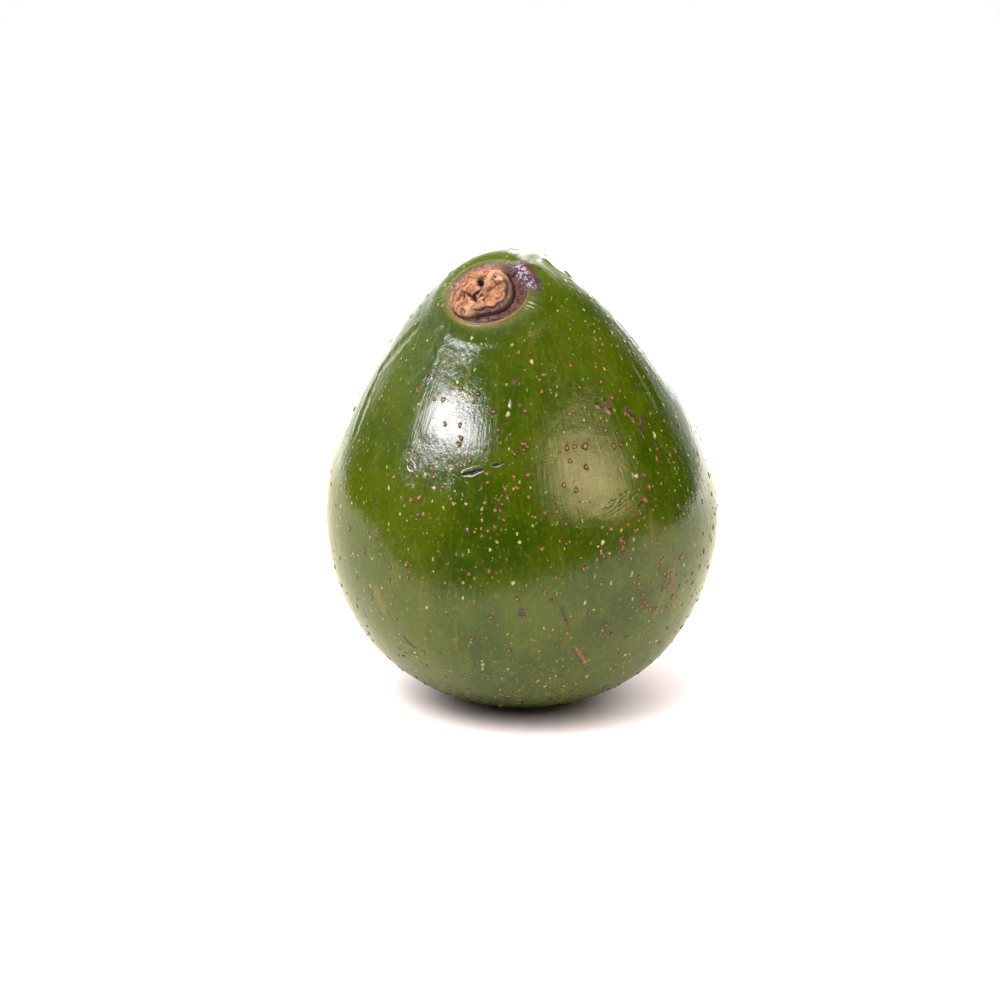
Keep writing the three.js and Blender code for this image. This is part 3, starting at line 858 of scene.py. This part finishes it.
# Corky spots: small closed lenses, half sunk in the skin
spotShape = {
    "around": 9, "rings": 6, "rise": 0.26, "seed": 7, "count": 1300, "gap": 1.3, "usualReach": 0.5,
    "aboveFloor": 1.5, "smallest": 0.17, "growth": 0.38,
}
namedSpots = [
    {"at": (520, 406), "tone": 0.2}, {"at": (525, 444), "reach": 0.48, "tone": 0.3},
    {"at": (524, 450), "reach": 0.4, "tone": 0.35}, {"at": (498, 430), "reach": 0.45, "tone": 0.4},
    {"at": (454, 505), "tone": 0.15}, {"at": (434, 488), "reach": 0.48, "tone": 0.3},
    {"at": (411, 500), "reach": 0.62, "tone": 0.6}, {"at": (419, 498), "reach": 0.68, "tone": 0.65},
    {"at": (585, 446), "reach": 0.75, "tone": 0.45}, {"at": (567, 448), "reach": 0.55, "tone": 0.35},
    {"at": (614, 446), "reach": 0.6, "tone": 0.4}, {"at": (621, 445), "tone": 0.3},
    {"at": (617, 433), "reach": 0.55, "tone": 0.1}, {"at": (570, 461), "tone": 0.5},
    {"at": (586, 467), "reach": 0.6, "tone": 0.2}, {"at": (636, 476), "reach": 0.6, "tone": 0.95},
    {"at": (644, 475), "reach": 0.55, "tone": 0.6}, {"at": (649, 487), "reach": 0.6, "tone": 0.75},
    {"at": (645, 500), "reach": 0.8, "tone": 0.7}, {"at": (653, 510), "reach": 0.4, "tone": 0.75},
    {"at": (657, 449), "reach": 0.4, "tone": 0.8}, {"at": (564, 485), "tone": 0.5},
    {"at": (576, 490), "tone": 0.3}, {"at": (545, 513), "tone": 0.5},
    {"at": (557, 512), "reach": 0.45, "tone": 0.65}, {"at": (566, 524), "tone": 0.25},
    {"at": (611, 529), "reach": 0.6, "tone": 0.55}, {"at": (635, 531), "tone": 0.6},
    {"at": (542, 549), "tone": 0.7}, {"at": (681, 557), "reach": 0.6, "tone": 0.6},
    {"at": (664, 573), "tone": 0.7}, {"at": (671, 574), "tone": 0.75}, {"at": (663, 590), "tone": 0.75},
    {"at": (673, 597), "reach": 0.7, "tone": 0.8}, {"at": (643, 594), "tone": 0.7},
    {"at": (641, 606), "reach": 0.4, "tone": 0.8}, {"at": (650, 608), "reach": 0.45, "tone": 0.7},
    {"at": (606, 625), "tone": 0.55}, {"at": (567, 633), "reach": 0.6, "tone": 0.7},
    {"at": (434, 488), "tone": 0.95}, {"at": (454, 504), "tone": 0.9},
    {"at": (466, 504), "reach": 0.35, "tone": 0.98}, {"at": (485, 503), "tone": 0.65},
    {"at": (505, 489), "tone": 0.85}, {"at": (517, 488), "tone": 0.7}, {"at": (487, 474), "tone": 0.6},
    {"at": (514, 477), "reach": 0.45, "tone": 0.8}, {"at": (528, 475), "reach": 0.6, "tone": 0.55},
    {"at": (394, 477), "tone": 0.7}, {"at": (409, 453), "reach": 0.4, "tone": 0.9},
    {"at": (504, 520), "tone": 0.35}, {"at": (495, 527), "tone": 0.6}, {"at": (488, 531), "tone": 0.4},
    {"at": (497, 542), "reach": 0.4, "tone": 0.9}, {"at": (490, 550), "reach": 0.35, "tone": 0.98},
    {"at": (489, 571), "reach": 0.6, "tone": 0.5}, {"at": (445, 583), "tone": 0.5},
    {"at": (406, 565), "reach": 0.6, "tone": 0.5}, {"at": (513, 583), "tone": 0.99},
    {"at": (517, 599), "reach": 0.6, "tone": 0.5}, {"at": (471, 587), "tone": 0.4},
    {"at": (461, 388), "reach": 0.45, "tone": 0.3}, {"at": (478, 394), "reach": 0.55, "tone": 0.15},
    {"at": (445, 424), "tone": 0.35}, {"at": (460, 425), "tone": 0.35},
    {"at": (461, 438), "reach": 0.55, "tone": 0.3}, {"at": (459, 444), "reach": 0.55, "tone": 0.2},
    {"at": (434, 399), "reach": 0.45, "tone": 0.4}, {"at": (474, 402), "reach": 0.35, "tone": 0.2},
    {"at": (470, 461), "tone": 0.6}, {"at": (461, 466), "tone": 0.5},
    {"at": (512, 345), "reach": 0.4, "tone": 0.9}, {"at": (520, 405), "reach": 0.4, "tone": 0.7},
]
spotGroups = [
    {"at": (668, 582), "spread": 5, "count": 14, "tone": 0.7},
    {"at": (649, 606), "spread": 5, "count": 10, "tone": 0.65},
    {"at": (636, 510), "spread": 6, "count": 8, "tone": 0.6},
    {"at": (655, 545), "spread": 8, "count": 8, "tone": 0.6},
    {"at": (498, 502), "spread": 9, "count": 10, "tone": 0.4},
    {"at": (520, 440), "spread": 6, "count": 6, "tone": 0.35},
    {"at": (440, 500), "spread": 12, "count": 8, "tone": 0.45},
    {"at": (405, 590), "spread": 10, "count": 8, "tone": 0.5},
    {"at": (380, 560), "spread": 7, "count": 6, "tone": 0.5},
    {"at": (590, 350), "spread": 10, "count": 8, "tone": 0.8},
    {"at": (540, 372), "spread": 10, "count": 6, "tone": 0.85},
    {"at": (623, 546), "spread": 2.5, "count": 6, "tone": 0.7},
    {"at": (602, 548), "spread": 5, "count": 6, "tone": 0.95},
]
# The shoulder where the sheen hides the skin carries fewer spots
glare = np.array([0.78, 0.1, 0.617])


def surfaceAt(d):
    step = 0.002
    base = np.array([0.0, 0, 1]) if abs(d[2]) < 0.9 else np.array([1.0, 0, 0])
    first = np.cross(base, d)
    first /= np.linalg.norm(first)
    second = np.cross(d, first)
    trio = np.stack([d, d + step * first, d + step * second])
    trio /= np.linalg.norm(trio, axis=1)[:, None]
    at, one, two = atRest(skinPoints(trio))
    normal = np.cross(one - at, two - at)
    return at, normal / np.linalg.norm(normal)


def spotAxes(normal, reach, stretch):
    up = np.array([0.0, 0, 1]) - normal * normal[2]
    if np.linalg.norm(up) < 0.05:
        up = np.array([1.0, 0, 0]) - normal * normal[0]
    up /= np.linalg.norm(up)
    right = np.cross(up, normal)
    return [right * reach, up * reach * stretch, normal * reach * spotShape["rise"]]


# Each spot is its place, normal, reach, stretch and tone: the named ones first, then groups, then free ones
def placeSpots(surface, draw):
    placed = []
    for spot in namedSpots:
        look = (spot.get("reach", spotShape["usualReach"]), 1.05, spot["tone"])
        placed.append((*cast(surface, spot["at"]), *look))
    for group in spotGroups:
        column, row = group["at"]
        for _ in range(group["count"]):
            pixel = (draw.gauss(column, group["spread"]), draw.gauss(row, group["spread"] * 1.5))
            look = (draw.uniform(0.2, 0.48), 1.2, draw.gauss(group["tone"], 0.12))
            placed.append((*cast(surface, pixel), *look))
    kept = [cast(surface, mark["start"])[0] for mark in marks]
    while len(placed) < spotShape["count"]:
        d = np.array([draw.gauss(0, 1) for _ in range(3)])
        d /= np.linalg.norm(d)
        place, normal = surfaceAt(d)
        redder = 0.5 + 0.5 * (0.7 * normal[0] - 0.6 * normal[2])
        dense = (0.3 + 0.7 * redder) * (1 - 0.75 * smooth(normal @ glare, 0.88, 0.95))
        near = d @ scarDirection > 0.95 or place[2] < spotShape["aboveFloor"]
        if near or draw.random() > dense:
            continue
        others = np.array(kept + [other[0] for other in placed])
        if np.linalg.norm(others - place, axis=1).min() < spotShape["gap"]:
            continue
        reach = spotShape["smallest"] + spotShape["growth"] * draw.random() ** 1.9
        stretch = 1.0 + 0.9 * draw.random() * max(normal[2] * 0.6 + 0.4, 0)
        tone = min(max(draw.gauss(0.3 + 0.3 * redder, 0.26), 0), 1)
        placed.append((place, normal, reach, stretch, tone))
    return placed


def buildSpots(surface, material):
    draw = random.Random(spotShape["seed"])
    placed = placeSpots(surface, draw)
    bm, mesh = roundBlank("corkySpots", spotShape)
    bm.clear()
    for _ in placed:
        bm.from_mesh(mesh)
    bm.to_mesh(mesh)
    bm.free()
    lens = readVectors(mesh, "co").reshape(len(placed), -1, 3)
    turns = np.arctan2(lens[:, :, 1], lens[:, :, 0])
    starts = np.array([[draw.uniform(0, 6.28) for _ in range(2)] for _ in placed])
    uneven = 1 + 0.2 * np.sin(2 * turns + starts[:, :1]) + 0.16 * np.sin(3 * turns + starts[:, 1:])
    shaped = lens * np.stack([uneven, uneven, np.ones_like(uneven)], 2)
    frames = [spotAxes(normal, reach, stretch) for _, normal, reach, stretch, _ in placed]
    places = np.array([spot[0] for spot in placed])
    points = np.einsum("nki,nij->nkj", shaped, np.array(frames)) + places[:, None]
    writePoints(mesh, points.reshape(-1, 3) * mm)
    writeLayer(mesh, "fromCentre", np.hypot(lens[:, :, 0], lens[:, :, 1]).ravel())
    writeLayer(mesh, "tone", np.repeat([spot[4] for spot in placed], lens.shape[1]))
    print("spots:", len(placed))
    addPiece("corkySpots", mesh, material)


spotColours = {
    "dark": (0.045, 0.025, 0.015), "brown": (0.148, 0.074, 0.029), "rust": (0.197, 0.075, 0.021),
    "pale": (0.476, 0.41, 0.213), "grain": (0.09, 0.041, 0.02), "core": (0.32, 0.22, 0.11),
    "outer": (0.037, 0.025, 0.0049),
}


def spotMaterial():
    material, tree, shader, place = newMaterial("corkySpot")
    paint = spotColours
    tone = attribute(tree, "tone")
    fromCentre = attribute(tree, "fromCentre")
    grainy = noiseOf(tree, place, 2600, 2)
    rimmed = ramp(tree, tone, 0.25, 0.7, 0.94, 0.65)
    colour = mixColour(tree, ramp(tree, tone, 0.05, 0.35), paint["dark"], paint["brown"])
    shares = {
        "rust": ramp(tree, tone, 0.45, 0.75),
        "pale": ramp(tree, tone, 0.84, 0.97),
        "grain": ramp(tree, grainy, 0.42, 0.7, 0, 0.6),
        "core": times(tree, ramp(tree, fromCentre, 0.42, 0.12, 0, 0.75), ramp(tree, grainy, 0.35, 0.55)),
        "outer": times(tree, ramp(tree, fromCentre, 0.36, 0.72), rimmed),
    }
    colour = overlay(tree, colour, paint, shares)
    setInputs(tree, shader, {"Base Color": colour, "Roughness": 0.25, "Specular IOR Level": 0.2})
    setInputs(tree, shader, {"Normal": bump(tree, grainy, 0.00005)})
    return material


# Studio: a pale floor, two high lights that give no sheen, and panels that are seen in the sheen alone
studio = {
    "floorSide": 1.0,
    "floorFront": -0.165,
    "floorColour": (0.94, 0.82, 0.81),
    # The floor's painted reflection: its colours and glow in the sheen alone
    "hazeDark": (0.01, 0.01, 0.01),
    "hazePale": (0.56, 0.52, 0.39),
    "hazeFrom": -0.128,
    "hazeTo": -0.082,
    "glowFrom": 0.14,
    "glowTo": 0.4,
    "glow": 1.6,
}
panels = {
    "key": {
        "azimuth": -57, "elevation": 18.3, "distance": 0.9, "width": 0.94, "height": 0.3,
        "radiance": 32, "soft": 0.42, "slant": 0.9, "colour": (0.96, 0.88, 1), "sheen": True,
    },
    "fill": {
        "azimuth": 42, "elevation": 14.5, "distance": 0.9, "width": 1.4, "height": 0.58,
        "radiance": 8.6, "soft": 0.48, "colour": (1, 0.72, 0.43), "sheen": True,
    },
    "veil": {
        "azimuth": -106, "elevation": 28, "distance": 0.9, "width": 1.3, "height": 0.9,
        "radiance": 1.1, "soft": 0.5, "colour": (0.96, 1, 1), "sheen": True,
    },
    "back": {
        "azimuth": 162, "elevation": 12, "distance": 1.1, "width": 0.5, "height": 0.5,
        "radiance": 10, "soft": 0.1, "colour": (1, 0.98, 0.99), "sheen": True,
    },
    "top": {
        "azimuth": -40, "elevation": 60, "distance": 1.0, "width": 1.3, "height": 0.9,
        "radiance": 9, "soft": 0.3, "colour": (1, 1, 1), "sheen": False,
    },
    "ceiling": {
        "azimuth": 0, "elevation": 90, "distance": 1.0, "width": 4.4, "height": 4.4,
        "radiance": 2.6, "soft": 0.2, "colour": (1, 1, 1), "sheen": False,
    },
}


def addPanel(name):
    panel = panels[name]
    light = bpy.data.lights.new(name, "AREA")
    light.shape = "RECTANGLE"
    light.size = panel["width"]
    light.size_y = panel["height"]
    light.energy = panel["radiance"] * math.pi * panel["width"] * panel["height"]
    light.color = panel["colour"]
    light.use_nodes = True
    tree = light.node_tree
    # The panel fades towards its edges, which may slant
    strength = 1.0
    place = addNode(tree, "NewGeometry").outputs["Parametric"]
    across, upward = addNode(tree, "SeparateXYZ", {0: place}).outputs[:2]
    slant = times(tree, calculate(tree, "SUBTRACT", 0.5, upward), panel.get("slant", 0))
    for axis in (calculate(tree, "MULTIPLY_ADD", across, slant, across), upward):
        away = calculate(tree, "ABSOLUTE", calculate(tree, "SUBTRACT", axis, 0.5))
        strength = times(tree, strength, ramp(tree, away, 0.5, 0.5 - panel["soft"]))
    tree.links.new(strength, tree.nodes["Emission"].inputs["Strength"])
    holder = addObject(name + "Panel", light)
    away = Vector(direction(90 - panel["elevation"], panel["azimuth"]))
    holder.location = Vector(standing) * mm + away * panel["distance"]
    holder.rotation_mode = "QUATERNION"
    holder.rotation_quaternion = (-away).to_track_quat("-Z", "Y")
    holder.visible_camera = False
    holder.visible_glossy = panel["sheen"]
    holder.visible_diffuse = not panel["sheen"]


# The floor's look in reflections is painted: in the sheen it is dark near the front, pale behind the fruit
# and bright far behind, where it glows though it is no lamp
def floorMaterial():
    material, tree, shader, ground = newMaterial("floor")
    mirrored = addNode(tree, "LightPath").outputs["Is Glossy Ray"]
    back = addNode(tree, "VectorMath", {0: ground, 1: (0.25, 1, 0)}, operation="DOT_PRODUCT").outputs["Value"]
    haze = ramp(tree, back, studio["hazeFrom"], studio["hazeTo"])
    inSheen = mixColour(tree, haze, studio["hazeDark"], studio["hazePale"])
    colour = mixColour(tree, mirrored, studio["floorColour"], inSheen)
    glow = times(tree, mirrored, ramp(tree, back, studio["glowFrom"], studio["glowTo"], 0, studio["glow"]))
    setInputs(tree, shader, {"Base Color": colour, "Roughness": 0.9, "Specular IOR Level": 0.1})
    setInputs(tree, shader, {"Emission Color": (1, 1, 1, 1), "Emission Strength": glow})
    return material


def buildWorld():
    world = bpy.data.worlds.new("studio")
    bpy.context.scene.world = world
    world.use_nodes = True
    tree = world.node_tree
    seen = addNode(tree, "LightPath").outputs["Is Camera Ray"]
    toward = addNode(tree, "TexCoord").outputs["Generated"]
    parts = addNode(tree, "SeparateXYZ", {0: toward}).outputs
    behind = ramp(tree, parts["Y"], 0.55, 0.94, 0.006, 1.6)
    shade = times(tree, behind, ramp(tree, parts["Z"], 0.4, 0.75, 1, 0.12))
    surround = addNode(tree, "CombineColor", {0: shade, 1: shade, 2: shade}).outputs[0]
    tree.links.new(mixColour(tree, seen, surround, (1, 1, 1)), tree.nodes["Background"].inputs["Color"])


def buildStudio():
    bm = bmesh.new()
    bmesh.ops.create_grid(bm, x_segments=2, y_segments=2, size=studio["floorSide"] / 2)
    for vertex in bm.verts:
        vertex.co.y += studio["floorSide"] / 2 + studio["floorFront"]
    mesh = bpy.data.meshes.new("floor")
    bm.to_mesh(mesh)
    bm.free()
    mesh.materials.append(floorMaterial())
    addObject("floor", mesh)
    for name in panels:
        addPanel(name)
    buildWorld()
    print("studio ready")


def addCamera():
    lens = bpy.data.cameras.new("camera")
    lens.sensor_width = mainView["sensor"]
    lens.lens = mainView["sensor"] * mainView["focal"] / mainView["side"]
    lens.shift_x = 0.5 - mainView["column"] / mainView["side"]
    lens.shift_y = mainView["row"] / mainView["side"] - 0.5
    lens.clip_start = 0.01
    holder = addObject("camera", lens)
    holder.location = viewPlace * mm
    holder.rotation_euler = (math.pi / 2 - tilt, 0, 0)
    bpy.context.scene.camera = holder
    bpy.context.scene.view_settings.view_transform = "Standard"


creaseGroup = buildCreases()
skinSurface = buildSkin(skinMaterial())
buildWood(woodMaterial())
buildSpots(skinSurface, spotMaterial())
buildStudio()
addCamera()
